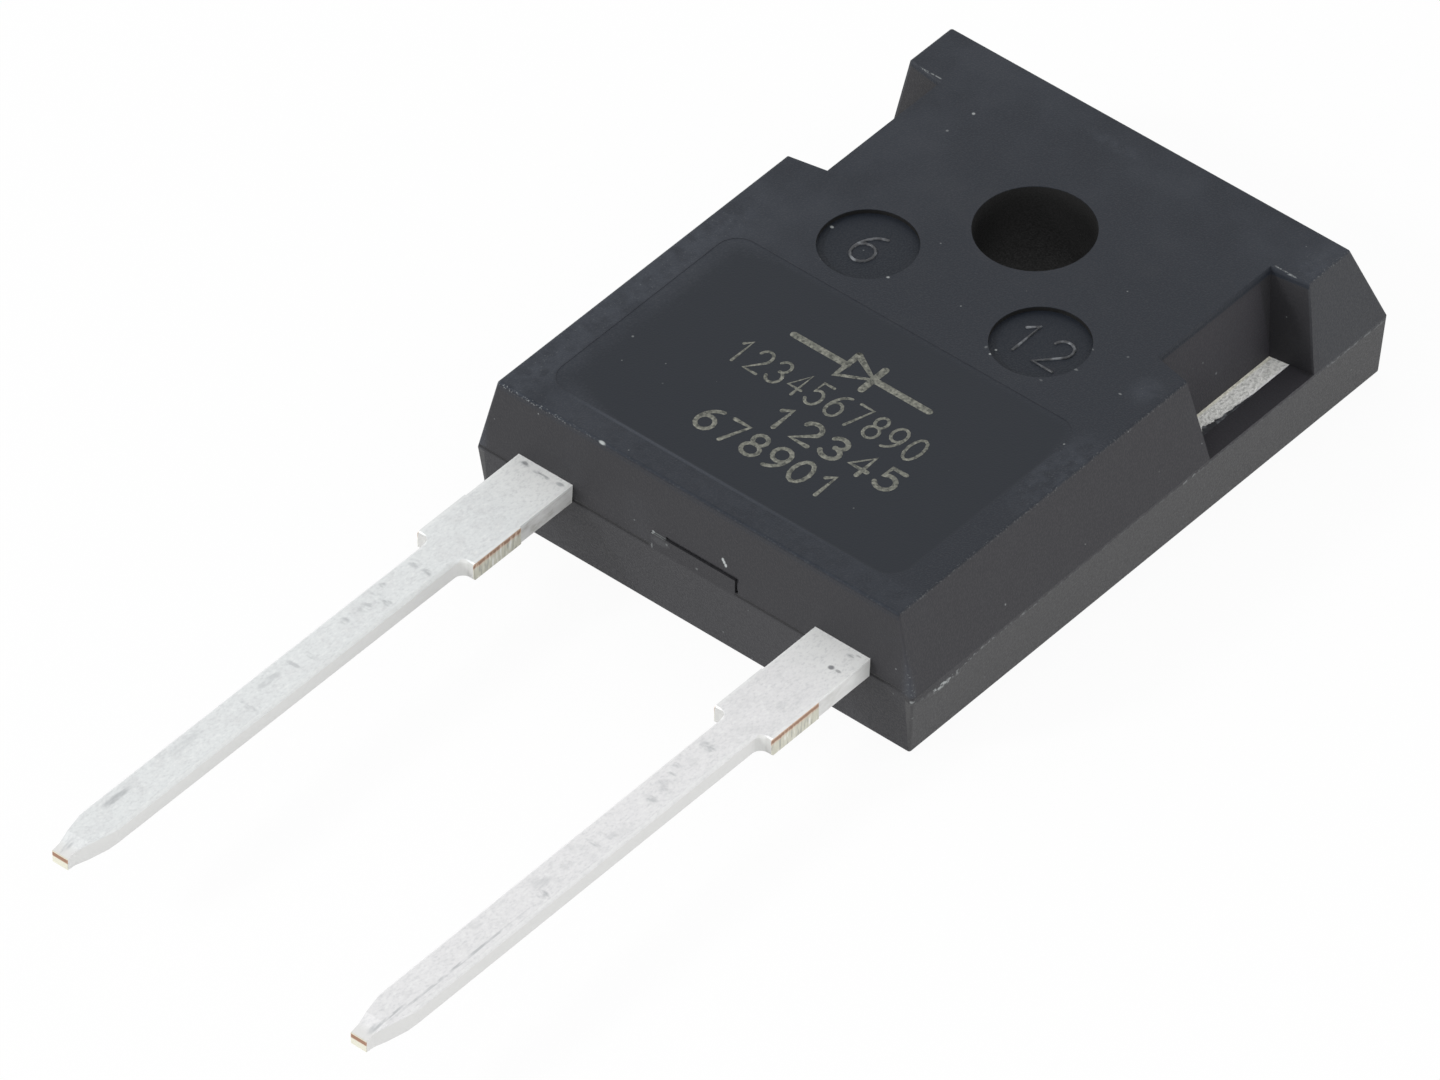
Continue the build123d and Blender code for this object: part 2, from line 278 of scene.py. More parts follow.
def tinned_copper(name, lead_x, tin, side_shade, rubs, dints):
    """Tin plating for a lead on this centre line, its sides mottled as much as side_shade says, and
    given painted light beside the body the less they are mottled. A rub or a dint is (from the tip,
    sideways, half length, half width, darkness)."""
    finish = Finish(name)
    across = finish.math("SUBTRACT", finish.x, lead_x)
    out = finish.math("ABSOLUTE", across)

    def spot(from_tip, sideways, half_length, half_width):
        """A mask for one spot on the upper side."""
        centre = (lead_x + sideways, lead_tip_y + from_tip, lead_top)
        return finish.blot(centre, (half_width, half_length, spot_depth))

    finish.paint(tin)
    clouds = finish.noise(0.45, detail=4.0, seed=lead_x)
    finish.paint(tin_dull, finish.both(finish.rise(clouds, 0.45, 0.75), 0.5))
    # Beside the body the tin is painted brighter: painted light against the body's shade.
    painted_light_by_body = finish.rise(finish.y, lead_end_y - 2.4, lead_end_y - 0.2)
    finish.paint(tin_bright, finish.both(painted_light_by_body, 0.85))
    grain = finish.noise(0.07, stretch=(1, 1.6, 1), detail=4.0, seed=2.0)
    finish.paint(tin_grain, finish.both(finish.rise(grain, 0.46, 0.74), 0.5))
    finish.paint(tin_bright, finish.both(finish.rise(grain, 0.48, 0.26), 0.5))
    below_top = finish.rise(finish.z, lead_top - 0.05, lead_top - 0.12)
    finish.paint(tin_side, finish.both(below_top, 0.9))
    side_clouds = finish.noise(0.35, stretch=(1, 1.4, 0.7), detail=4.0, seed=lead_x + 8)
    on_root = finish.rise(finish.y, root_end_y - 0.05, root_end_y)
    above_back = finish.rise(finish.z, parting_height + 0.005, parting_height + 0.02)
    root_side = finish.both(below_top, on_root, above_back)
    finish.paint(tin_bright, finish.both(root_side, finish.rise(side_clouds, 0.48, 0.30), 0.7))
    finish.paint(tin_shade, finish.both(root_side, finish.rise(side_clouds, 0.48, 0.70), side_shade))
    # More painted light on the sides beside the body, the less they are mottled.
    finish.paint(tin_bright, finish.both(below_top, painted_light_by_body, 1 - side_shade))
    finish.roughen(0.66)
    finish.roughen(0.80, finish.noise(0.25, detail=3.0, seed=5.0))
    finish.plate(0.25)
    finish.emboss(grain, 0.005)

    # Stamping draws the edges of the upper side down a little, and a painted highlight runs
    # along them.
    on_top = finish.rise(finish.z, lead_top - 0.10, lead_top - 0.02)
    root_rim = finish.both(on_root, finish.rise(out, root_half_width - 0.10, root_half_width - 0.02))
    on_shank = finish.rise(finish.y, root_end_y - 0.1, root_end_y - 0.3)
    shank_rim = finish.rise(out, shank_half_width - 0.11, shank_half_width - 0.06)
    shank_rim = finish.both(shank_rim, on_shank)
    rims = finish.both(on_top, finish.either(root_rim, shank_rim))
    finish.emboss(rims, -0.01)
    shoulder = finish.both(
        finish.within(finish.y, root_end_y - 0.32, root_end_y + 0.02, 0.02),
        finish.rise(out, shank_half_width + 0.005, shank_half_width + 0.03),
        finish.rise(finish.z, lead_top - 0.002, lead_top - 0.012),
    )
    finish.roughen(0.95, shoulder)

    across_streaks = finish.noise(0.13, stretch=(2.2, 1, 1), detail=3.0, seed=lead_x + 3)
    across_streaks = finish.rise(across_streaks, 0.34, 0.66)
    along_streaks = finish.noise(0.12, stretch=(1, 4, 1), detail=3.0, seed=lead_x + 4)
    along_streaks = finish.rise(along_streaks, 0.28, 0.60)
    for from_tip, sideways, half_length, half_width, darkness in rubs:
        streaks = along_streaks if half_length > 2 * half_width else across_streaks
        rub = spot(from_tip, sideways, half_length, half_width)
        finish.paint(rubbed_tin, finish.both(rub, streaks, darkness))
    for from_tip, sideways, half_length, half_width, darkness in dints:
        dint = spot(from_tip, sideways, half_length, half_width)
        finish.paint(dint_colour, finish.both(dint, darkness))
    # The painted highlight along the rims.
    finish.paint(tin_bright, finish.both(rims, 0.40))
    # The shoulders' bevels are painted darker, as painted shade that damps the lamp's highlight on
    # them, and the hollow on the right of each shank is painted lighter, as painted light.
    finish.paint(painted_shoulder_shade, finish.both(shoulder, 0.85))
    hollow_painted_light = finish.both(shoulder, finish.rise(out, shank_half_width + 0.27, shank_half_width + 0.18))
    on_right = finish.rise(across, 0.0, 0.1)
    on_left = finish.rise(across, 0.0, -0.1)
    finish.paint(tin_bright, finish.both(hollow_painted_light, on_right, 0.4))
    finish.paint(painted_far_shoulder_shade, finish.both(shoulder, on_left, 0.9))

    sheared_bar(finish, out)
    cropped_tip(finish, out)
    blasted_strip(finish)
    scratched_back(finish)
    return finish.done()


cathode_rubs = [
    (0.33, -0.02, 0.35, 0.09, 0.70),
    (2.55, -0.24, 0.50, 0.11, 0.85),
    (5.40, -0.25, 0.60, 0.14, 0.30),
    (7.60, 0.10, 0.11, 0.30, 0.55),
    (8.75, -0.17, 0.40, 0.13, 0.50),
    (9.66, -0.07, 0.09, 0.27, 0.60),
    (10.23, 0.04, 0.08, 0.27, 0.45),
    (11.89, -0.17, 0.13, 0.14, 0.65),
    (12.21, -0.17, 0.11, 0.13, 0.50),
    (12.68, -0.12, 0.25, 0.17, 0.60),
    (13.16, -0.12, 0.19, 0.25, 0.65),
    (13.19, 0.23, 0.11, 0.19, 0.90),
    (13.66, -0.33, 0.10, 0.10, 0.65),
    (14.79, 0.25, 0.15, 0.17, 0.85),
    (14.87, -0.23, 0.16, 0.18, 0.65),
    (19.93, 0.72, 0.07, 0.14, 0.90),
    (19.89, 0.08, 0.07, 0.32, 1.00),
    (19.94, -0.58, 0.11, 0.15, 1.00),
]
cathode_dints = [
    (19.91, 0.10, 0.03, 0.20, 0.35),
    (19.96, -0.60, 0.06, 0.09, 0.45),
]
cathode_finish = tinned_copper(
    "tinned_copper_cathode", -lead_pitch / 2, cathode_tin, 0.90, cathode_rubs, cathode_dints
)
dress("heat_spreader", cathode_finish)


# ---- Anode lead -------------------------------------------------------------------------------
# The second lead, a separate piece of the same plated strip: its inner end spreads into a post
# for the bond wires, and only the moulding holds it. Its tin is a little warmer, and it has its own
# rubs, a long crease from the tip and a few dark dints at the root.
anode_tin = (0.785, 0.782, 0.788)
anode_rubs = [
    (0.43, 0.15, 0.25, 0.09, 0.60),
    (0.95, 0.22, 0.65, 0.05, 0.75),
    (3.60, 0.33, 2.60, 0.045, 0.75),
    (7.25, 0.25, 0.14, 0.19, 0.90),
    (7.60, -0.02, 0.32, 0.14, 0.35),
    (8.60, -0.02, 0.27, 0.16, 0.30),
    (9.67, -0.05, 0.08, 0.24, 0.55),
    (10.10, 0.04, 0.07, 0.22, 0.45),
    (10.25, 0.20, 0.17, 0.11, 0.40),
    (12.00, 0.04, 0.12, 0.22, 0.60),
    (12.63, -0.02, 0.24, 0.24, 0.50),
    (13.08, -0.15, 0.10, 0.14, 0.75),
    (13.42, -0.28, 0.16, 0.12, 0.60),
    (14.55, -0.12, 0.18, 0.22, 0.85),
    (19.87, 0.54, 0.08, 0.14, 0.60),
]
anode_dints = [
    (19.17, 0.405, 0.08, 0.09, 0.75),
    (19.18, 0.65, 0.05, 0.09, 0.50),
    (19.87, 0.54, 0.03, 0.10, 0.35),
    (20.00, 0.70, 0.03, 0.09, 0.30),
]
anode_finish = tinned_copper(
    "tinned_copper_anode", lead_pitch / 2, anode_tin, 0.45, anode_rubs, anode_dints
)
dress("anode_lead", anode_finish)


# ---- Solder, chip and bond wires --------------------------------------------------------------
# Held inside the moulding: a film of soft solder, the silicon chip with its metallised contact,
# and three drawn aluminium wires that ultrasound has pressed onto the contact and the post.
solder_grey = (0.42, 0.43, 0.44)
solder_frost = (0.56, 0.57, 0.58)
silicon_dark = (0.10, 0.11, 0.13)
contact_silver = (0.62, 0.63, 0.64)
wire_bright = (0.78, 0.79, 0.80)
wire_drawn = (0.60, 0.61, 0.62)
chip_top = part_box("diode_chip")[1].z / MM


def soft_solder():
    finish = Finish("soft_solder", Metallic=1.0)
    frost = finish.noise(0.3, detail=5.0)
    finish.paint(solder_grey)
    finish.paint(solder_frost, finish.rise(frost, 0.4, 0.6))
    finish.roughen(0.38)
    finish.roughen(0.60, frost)
    finish.emboss(frost, 0.01)
    return finish.done()


def metallised_silicon():
    finish = Finish("metallised_silicon", Metallic=1.0)
    finish.paint(silicon_dark)
    finish.paint(contact_silver, finish.rise(finish.z, chip_top - 0.02, chip_top - 0.01))
    finish.roughen(0.25)
    finish.roughen(0.45, finish.noise(0.08, detail=2.0))
    finish.emboss(finish.noise(0.03), 0.002)
    return finish.done()


def drawn_aluminium():
    finish = Finish("drawn_aluminium", Metallic=1.0)
    draw_lines = finish.noise(0.05, stretch=(8, 8, 1), detail=2.0)
    finish.paint(wire_bright)
    finish.paint(wire_drawn, finish.rise(draw_lines, 0.5, 0.7))
    finish.roughen(0.22)
    finish.roughen(0.40, draw_lines)
    finish.emboss(draw_lines, 0.002)
    return finish.done()


dress("die_solder", soft_solder())
dress("diode_chip", metallised_silicon())
wire_aluminium = drawn_aluminium()
for node_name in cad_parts:
    if node_name.startswith("bond_wire"):
        dress(node_name, wire_aluminium)


# ---- Moulded body -----------------------------------------------------------------------------
# Black filled epoxy, cast round everything above in a two-half mould. The mould is spark-eroded,
# so the skin is evenly matt with a fine grain, apart from the polished field for the mark. Pale
# filler shows where the skin is knocked: on the rims, at the parting line and in a few specks. The
# same pale colour paints a highlight along the notches' shut-off edges and on the lip of the slot.
label_half_width = 6.38
label_low_y = -13.66
label_high_y = -5.56
label_corner = 0.7
hole_radius = 1.8
slot_half_width = 1.6
mark_spacing = 6.33
mark_y = -3.54
mark_radius = 1.475
face_z = body_high.z
mark_floor = face_z - 0.17
label_floor = face_z - 0.012
notch_low_y = -1.6
notch_high_y = 2.5
side_draft = 13.5
end_draft = 3.7
side_slope = tan(radians(side_draft))
end_slope = tan(radians(end_draft))
face_half_width = body_high.x - (face_z - parting_height) * side_slope
face_low_y = lead_end_y + (face_z - parting_height) * end_slope
specks_per_mm = 1.9

epoxy = (0.0160, 0.0158, 0.0185)
wall_painted_light = (0.0275, 0.0270, 0.0310)
face_bluish_painted_light = (0.0115, 0.0150, 0.0225)
polished_painted_shade = (0.0025, 0.0058, 0.0120)
dust_and_painted_light = (0.034, 0.036, 0.041)
scuff_and_highlight = (0.045, 0.052, 0.066)
lower_side_painted_light = (0.053, 0.053, 0.055)
lower_end_painted_light = (0.026, 0.026, 0.029)
notch_painted_light = (0.024, 0.023, 0.028)
slot_painted_light = (0.100, 0.100, 0.110)
field_lip_highlight = (0.080, 0.085, 0.095)
mark_shade = (0.002, 0.002, 0.002)
step_shade = (0.002, 0.002, 0.003)
hole_shade = (0.004, 0.004, 0.004)
filler_and_highlight = (0.34, 0.36, 0.36)

# Specks of bare filler, and one painted highlight: (place, half lengths, paleness).
specks = [
    ((-3.47, -14.62, 4.99), (0.11, 0.06, 0.06), 1.00),
    ((1.06, -14.78, 3.35), (0.045, 0.20, 0.06), 1.00),
    ((1.11, -14.78, 3.28), (0.045, 0.20, 0.06), 1.00),
    ((1.17, -14.78, 3.20), (0.045, 0.20, 0.06), 1.00),
    ((-1.47, -14.80, 2.91), (0.05, 0.20, 0.04), 0.60),
    # A painted highlight along the lip of the unused slot.
    ((-1.25, -14.80, 2.90), (0.25, 0.20, 0.03), 0.24),
    ((-1.20, -14.80, 2.70), (0.30, 0.20, 0.12), 0.05),
    ((-1.50, -14.80, 2.40), (0.03, 0.20, 0.09), 0.25),
    ((0.15, -14.80, 2.50), (0.04, 0.20, 0.04), 0.20),
    ((-0.95, -14.80, 2.75), (0.04, 0.20, 0.04), 0.20),
    ((-4.47, 2.62, 5.00), (0.045, 0.045, 0.05), 0.90),
    ((-4.57, 1.58, 5.00), (0.04, 0.04, 0.05), 0.35),
    ((-4.53, -3.51, 4.83), (0.055, 0.045, 0.05), 1.00),
    ((-1.84, -4.24, 5.00), (0.05, 0.04, 0.05), 0.80),
    ((2.41, -4.84, 5.00), (0.035, 0.035, 0.05), 0.80),
    ((2.31, -4.46, 4.83), (0.035, 0.035, 0.05), 0.80),
    ((2.14, -4.69, 5.00), (0.04, 0.05, 0.05), 0.25),
    ((4.62, -3.78, 5.00), (0.10, 0.04, 0.05), 0.30),
    ((4.45, -2.84, 5.00), (0.07, 0.03, 0.05), 0.25),
    ((4.19, -4.75, 5.00), (0.05, 0.03, 0.05), 0.20),
    ((-5.69, -10.74, 5.00), (0.035, 0.035, 0.05), 0.40),
    ((6.37, -6.35, 5.00), (0.03, 0.03, 0.05), 0.60),
    ((5.43, -2.44, 5.00), (0.035, 0.035, 0.05), 0.22),
    ((6.24, -3.76, 5.00), (0.05, 0.03, 0.05), 0.40),
    ((6.45, -0.16, 3.70), (0.20, 0.04, 0.04), 0.30),
    ((6.50, 0.30, 3.05), (0.20, 0.04, 0.04), 0.30),
    ((6.53, -0.95, 3.00), (0.20, 0.05, 0.06), 0.35),
    ((7.66, -10.64, 2.85), (0.25, 0.04, 0.04), 0.70),
    ((7.63, -14.80, 4.19), (0.05, 0.25, 0.05), 0.60),
    ((7.95, -14.80, 2.15), (0.05, 0.15, 0.05), 0.60),
    ((7.93, -14.80, 1.45), (0.04, 0.15, 0.06), 0.35),
    ((8.00, -13.58, 1.85), (0.20, 0.08, 0.05), 0.70),
    ((8.00, -13.22, 1.93), (0.20, 0.09, 0.04), 0.50),
]


def past_field(finish, side):
    """How far outside the field's rounded rectangle a place is, below 0 inside it."""
    mid_y = (label_low_y + label_high_y) / 2
    half_length = (label_high_y - label_low_y) / 2
    from_mid = finish.math("ABSOLUTE", finish.math("SUBTRACT", finish.y, mid_y))
    past_x = finish.math("SUBTRACT", side, label_half_width - label_corner)
    past_y = finish.math("SUBTRACT", from_mid, half_length - label_corner)
    past_x = finish.math("MAXIMUM", past_x, 0.0)
    past_y = finish.math("MAXIMUM", past_y, 0.0)
    return finish.math("SUBTRACT", finish.flat_length(past_x, past_y), label_corner)


def worn_rims(finish, side, crumbs):
    """Fine broken lines of filler along the rims of the face, and scuffed corners at the lead end."""
    at_top = finish.rise(finish.z, face_z - 0.12, face_z - 0.06)
    side_rim = finish.within(side, face_half_width - 0.04, face_half_width + 0.02, 0.02)
    end_rim = finish.within(finish.y, face_low_y - 0.03, face_low_y + 0.05, 0.02)
    end_wear = finish.between(finish.rise(finish.x, -2.5, -7.0), 0.04, 0.50)
    rims = finish.either(finish.both(side_rim, 0.16), finish.both(end_rim, end_wear))
    finish.paint(filler_and_highlight, finish.both(at_top, rims, finish.rise(crumbs, 0.54, 0.66)))
    at_end_rim = finish.rise(finish.y, face_low_y + 0.12, face_low_y + 0.04)
    finish.roughen(0.85, finish.both(at_end_rim, at_top))
    corner = finish.both(
        finish.rise(side, body_high.x - 0.5, body_high.x - 0.1),
        finish.rise(finish.y, face_low_y + 0.12, lead_end_y + 0.06),
    )
    finish.paint(scuff_and_highlight, finish.both(corner, 0.45))
    finish.paint(filler_and_highlight, finish.both(corner, finish.rise(crumbs, 0.60, 0.72), 0.45))


def lower_half(finish, side):
    """The lower half is painted paler at the sides and at the lead end: painted light from the white
    table it faces. Its upper edge is chipped beside the anode lead.
    """
    chipped = finish.both(finish.rise(finish.y, -11.4, -13.5), finish.rise(finish.y, -15.2, -13.8))
    jagged = finish.math("SUBTRACT", finish.noise(0.22, detail=4.0, seed=7.0), 0.5)
    jagged = finish.both(jagged, finish.between(chipped, 0.10, 0.45))
    edge_drop = finish.math("ADD", finish.between(chipped, 0.12, 0.34), jagged)
    edge_drop = finish.both(edge_drop, finish.rise(finish.x, 0.0, 1.0))
    below_edge = finish.math("SUBTRACT", parting_height, finish.math("ADD", finish.z, edge_drop))
    on_side = finish.rise(side, body_high.x - 0.30, body_high.x - 0.25)
    on_lower_end = finish.both(
        finish.rise(finish.z, parting_height + 0.1, parting_height),
        finish.rise(finish.y, -13.0, -14.0),
    )
    finish.paint(lower_end_painted_light, on_lower_end)
    finish.paint(lower_side_painted_light, finish.both(on_side, finish.rise(below_edge, -0.02, 0.04)))
    edge_line = finish.rise(finish.math("ABSOLUTE", below_edge), 0.07, 0.02)
    edge_wear = finish.either(
        finish.within(finish.y, -13.7, -12.9, 0.4),
        finish.both(finish.within(finish.y, -12.9, -9.8, 0.8), 0.45),
        finish.both(finish.within(finish.y, -3.0, -2.3, 0.3), 0.40),
        finish.both(finish.rise(finish.y, 2.8, 3.6), 0.30),
        0.10,
    )
    flakes = finish.noise(0.10, stretch=(1, 1.6, 1), detail=4.0, seed=8.0)
    flaked = finish.rise(flakes, 0.46, 0.60)
    finish.paint(filler_and_highlight, finish.both(on_side, edge_line, edge_wear, flaked, 0.9))
    knocked = finish.blot((8.0, -13.35, 1.88), (0.30, 0.55, 0.10), 0.6)
    finish.paint(filler_and_highlight, finish.both(knocked, finish.rise(flakes, 0.50, 0.62), 0.8))


def parting_step(finish, side):
    """The mould's two halves met a little above the leads' underside, which leaves a fine step."""
    on_end = finish.rise(finish.y, face_low_y + 0.05, face_low_y)
    beside_slot = finish.rise(side, slot_half_width - 0.1, slot_half_width + 0.06)
    step_line = finish.within(finish.z, parting_height + 0.10, parting_height + 0.14, 0.04)
    step_line = finish.both(on_end, step_line, beside_slot, finish.rise(finish.x, 7.9, 7.0))
    finish.emboss(step_line, -0.04)
    finish.paint(step_shade, finish.both(step_line, 0.8))


def shut_off_edge(finish, side, crumbs):
    """The shut-off edge at the far end of each notch, with a broken painted highlight along it as a
    hair line, in the filler's colour.
    """
    notch_rim_highlight = finish.both(
        finish.rise(finish.z, face_z - 0.06, face_z - 0.03),
        finish.within(finish.y, notch_high_y + 0.655, notch_high_y + 0.68, 0.02),
        finish.rise(side, notch_floor_x - 0.45, notch_floor_x - 0.35),
    )
    finish.paint(filler_and_highlight, finish.both(notch_rim_highlight, finish.rise(crumbs, 0.36, 0.60), 0.55))


def filler_specks(finish):
    """Bare filler in the specks named above, one of them a painted highlight, and in smaller ones
    strewn all over.
    """
    for place, reach, paleness in specks:
        speck = finish.blot(place, reach)
        finish.paint(filler_and_highlight, finish.both(speck, paleness))
    from_speck = finish.add("TexVoronoi", {"Vector": finish.place, "Scale": specks_per_mm})
    lot = finish.add("SeparateColor", {0: from_speck.node.outputs["Color"]})
    strewn = finish.both(finish.rise(from_speck, 0.065, 0.03), finish.rise(lot, 0.72, 1.0))
    finish.paint(filler_and_highlight, finish.both(strewn, 0.45))


def black_epoxy():
    finish = Finish("black_epoxy", IOR=1.41)
    side = finish.math("ABSOLUTE", finish.x)
    grain = finish.noise(0.055, detail=2.0)
    mottle = finish.noise(0.10, detail=4.0, seed=12.0)
    clouds = finish.noise(1.6, detail=4.0, seed=4.0)
    crumbs = finish.noise(0.06, detail=2.0, seed=6.0)

    # The marked face is painted bluer than the walls, as painted light, a bluish cast from above. The
    # field in it is smoother, and painted darker as painted shade for its darker reflection.
    inside_rim = finish.both(
        finish.rise(side, face_half_width + 0.03, face_half_width - 0.03),
        finish.rise(finish.y, face_low_y - 0.03, face_low_y + 0.03),
    )
    on_face = finish.both(inside_rim, finish.rise(finish.z, face_z - 0.26, face_z - 0.20))
    past = past_field(finish, side)
    at_left = finish.rise(finish.x, -3.5, -6.2)
    frayed = finish.both(at_left, finish.math("SUBTRACT", mottle, 0.5))
    at_far_end = finish.both(finish.rise(finish.y, -7.5, -6.0), 0.3)
    fading = finish.between(finish.either(at_left, at_far_end), -0.08, -0.9)
    field = finish.rise(finish.math("ADD", past, frayed), 0.05, fading)
    top_skin = finish.rise(finish.z, face_z - 0.06, face_z - 0.04)
    label = finish.both(top_skin, inside_rim, field)

    # The long walls, which lean in above the parting line, are painted a little greyer than the rest:
    # painted light from the table and the sides, and more of it at their far end.
    above_parting = finish.math("MAXIMUM", finish.math("SUBTRACT", finish.z, parting_height), 0.0)
    lean_in = finish.math("MULTIPLY", above_parting, side_slope)
    on_wall = finish.rise(finish.math("ADD", side, lean_in), body_high.x - 0.10, body_high.x - 0.04)
    finish.paint(epoxy)
    finish.paint(wall_painted_light, on_wall)
    finish.paint(dust_and_painted_light, finish.both(on_wall, finish.rise(finish.y, 2.4, 3.4)))
    # The notches' walls are painted lighter than the plain epoxy: painted light.
    in_notch = finish.both(
        finish.rise(side, notch_floor_x - 0.5, notch_floor_x - 0.4),
        finish.within(finish.y, notch_low_y - 0.2, notch_high_y, 0.1),
        finish.rise(finish.z, face_z - 0.06, face_z - 0.12),
    )
    finish.paint(notch_painted_light, in_notch)
    finish.paint(face_bluish_painted_light, on_face)
    finish.paint(dust_and_painted_light, finish.both(finish.rise(clouds, 0.50, 0.80), 0.25))
    finish.paint(dust_and_painted_light, finish.both(finish.rise(grain, 0.50, 0.78), 0.40))
    finish.paint(dust_and_painted_light, finish.both(on_face, finish.rise(mottle, 0.46, 0.70), 0.22))
    far_or_left = finish.either(finish.rise(finish.x, -1.0, -7.0), finish.rise(finish.y, 0.0, 6.0))
    hazy = finish.rise(clouds, 0.30, 0.65)
    finish.paint(scuff_and_highlight, finish.both(on_face, hazy, far_or_left, 0.30))
    finish.paint(polished_painted_shade, finish.both(label, 0.96))
    # The step round the field is painted lighter against its shade, and on its near half it gets a
    # painted highlight.
    field_wall = finish.both(
        finish.within(finish.z, label_floor + 0.002, face_z - 0.002, 0.001),
        finish.within(past, -0.02, 0.02, 0.02),
    )
    finish.paint(wall_painted_light, field_wall)
    not_left = finish.rise(finish.x, -6.2, -3.5)
    near_half = finish.rise(finish.y, -6.5, -9.0)
    finish.paint(field_lip_highlight, finish.both(field_wall, not_left, near_half))
    # The marks' floors get the same painted shade.
    in_mark = finish.both(on_face, finish.rise(finish.z, face_z - 0.10, face_z - 0.15))
    finish.paint(polished_painted_shade, finish.both(in_mark, 0.7))
    from_mark = finish.flat_length(
        finish.math("SUBTRACT", side, mark_spacing / 2),
        finish.math("SUBTRACT", finish.y, mark_y),
    )
    mark_wall = finish.both(
        finish.within(from_mark, mark_radius - 0.05, mark_radius + 0.01, 0.02),
        finish.within(finish.z, mark_floor + 0.02, face_z - 0.02, 0.01),
    )
    finish.paint(mark_shade, mark_wall)

    # Little light gets into the screw hole, which is painted in shade, and the shrunk gap round the
    # unused slot is painted lighter: painted light against its shade.
    in_hole = finish.both(
        finish.rise(finish.flat_length(finish.x, finish.y), hole_radius + 0.25, hole_radius + 0.10),
        finish.rise(finish.z, face_z - 0.01, face_z - 0.03),
    )
    finish.paint(hole_shade, in_hole)
    leaning = finish.math("MULTIPLY", above_parting, end_slope)
    sunk = finish.math("SUBTRACT", finish.math("SUBTRACT", finish.y, lead_end_y), leaning)
    in_gap = finish.both(
        finish.within(sunk, 0.08, 0.40, 0.02),
        finish.rise(side, slot_half_width + 0.2, slot_half_width + 0.15),
        finish.within(finish.z, parting_height + 0.20, parting_height + 0.90, 0.05),
    )
    finish.paint(slot_painted_light, in_gap)

    # The spark-eroded grain, nearly gone in the polished field.
    finish.roughen(0.55)
    finish.roughen(0.72, finish.rise(grain, 0.35, 0.65))
    finish.roughen(0.50, label)
    finish.emboss(finish.both(grain, finish.between(label, 1.0, 0.35)), 0.014)

    # Handling scuffs the margin round the field, most along the -X rim.
    margin = finish.both(top_skin, inside_rim, finish.rise(past, -0.05, 0.10))
    left_margin = finish.both(finish.rise(finish.x, -5.6, -6.8), finish.rise(finish.y, -3.0, -6.0))
    scuffs = finish.either(
        left_margin,
        finish.both(finish.rise(finish.y, label_low_y + 0.2, label_low_y - 0.2), 0.35),
        finish.both(finish.blot((7.0, -7.4, face_z), (0.7, 1.6, 0.3), 0.6), 0.9),
        finish.both(finish.blot((6.7, -3.2, face_z), (0.4, 0.5, 0.3), 0.7), 0.8),
        finish.both(finish.blot((7.1, 4.0, face_z), (0.5, 0.9, 0.3), 0.7), 0.8),
        finish.both(finish.blot((-0.6, 4.2, face_z), (0.9, 0.2, 0.3), 0.7), 0.7),
    )
    wisps = finish.noise(0.30, detail=4.0, seed=14.0)
    finish.paint(scuff_and_highlight, finish.both(margin, scuffs, finish.rise(wisps, 0.30, 0.66), 0.52))
    finish.paint(filler_and_highlight, finish.both(margin, scuffs, finish.rise(crumbs, 0.60, 0.82), 0.20))
    # The field's near edge gets a painted highlight, in the scuffed colour.
    field_edge = finish.within(past, 0.03, 0.07, 0.06)
    lip = finish.both(top_skin, field_edge, finish.rise(finish.y, label_low_y + 0.6, label_low_y))
    finish.paint(scuff_and_highlight, finish.both(lip, finish.rise(finish.x, 7.5, -3.0), not_left, 0.7))

    worn_rims(finish, side, crumbs)
    lower_half(finish, side)
    parting_step(finish, side)
    shut_off_edge(finish, side, crumbs)
    filler_specks(finish)
    return finish.done()


dress("moulded_body", black_epoxy())


# ---- Cavity numbers ---------------------------------------------------------------------------
# The two round ejector marks carry plain numbers, engraved in the mould with a round cutter, so
# that they stand up from the floor of the mark as thin half-round beads of the same epoxy.
cavity_height = 1.25
cavity_width = 0.72
cavity_pitch = 1.15
bead_width = 0.095
bead_height = 0.05
bead_sides = 12
bead_highlight = (0.160, 0.170, 0.185)


def bow(centre_x, centre_y, reach_x, reach_y, start, turn, steps=12):
    """Points along a bowed stroke, with its start and turn in degrees."""
    angles = [radians(start + turn * i / steps) for i in range(steps + 1)]
    return [(centre_x + reach_x * cos(a), centre_y + reach_y * sin(a)) for a in angles]


# The strokes of each digit, in a box one wide and one high.
digit_strokes = {
    "0": [bow(0.5, 0.5, 0.5, 0.5, 90, 360)],
    "1": [[(0.2, 0.78), (0.6, 1.0), (0.6, 0.0)]],
    "2": [bow(0.5, 0.71, 0.46, 0.29, 165, -195) + [(0.0, 0.0), (1.0, 0.0)]],
    "3": [bow(0.45, 0.76, 0.42, 0.24, 160, -250), bow(0.45, 0.27, 0.5, 0.27, 90, -250)],
    "4": [[(0.75, 0.0), (0.75, 1.0), (0.0, 0.3), (1.0, 0.3)]],
    "5": [[(0.9, 1.0), (0.15, 1.0), (0.1, 0.56)] + bow(0.46, 0.33, 0.5, 0.33, 130, -280)],
    "6": [bow(1.0, 0.33, 1.0, 0.67, 100, 80), bow(0.5, 0.31, 0.5, 0.31, 180, 360)],
    "7": [[(0.0, 1.0), (1.0, 1.0), (0.35, 0.0)]],
    "8": [bow(0.5, 0.76, 0.4, 0.24, -90, 360), bow(0.5, 0.27, 0.5, 0.27, 90, 360)],
    "9": [bow(0.0, 0.67, 1.0, 0.67, -80, 80), bow(0.5, 0.69, 0.5, 0.31, 0, 360)],
}


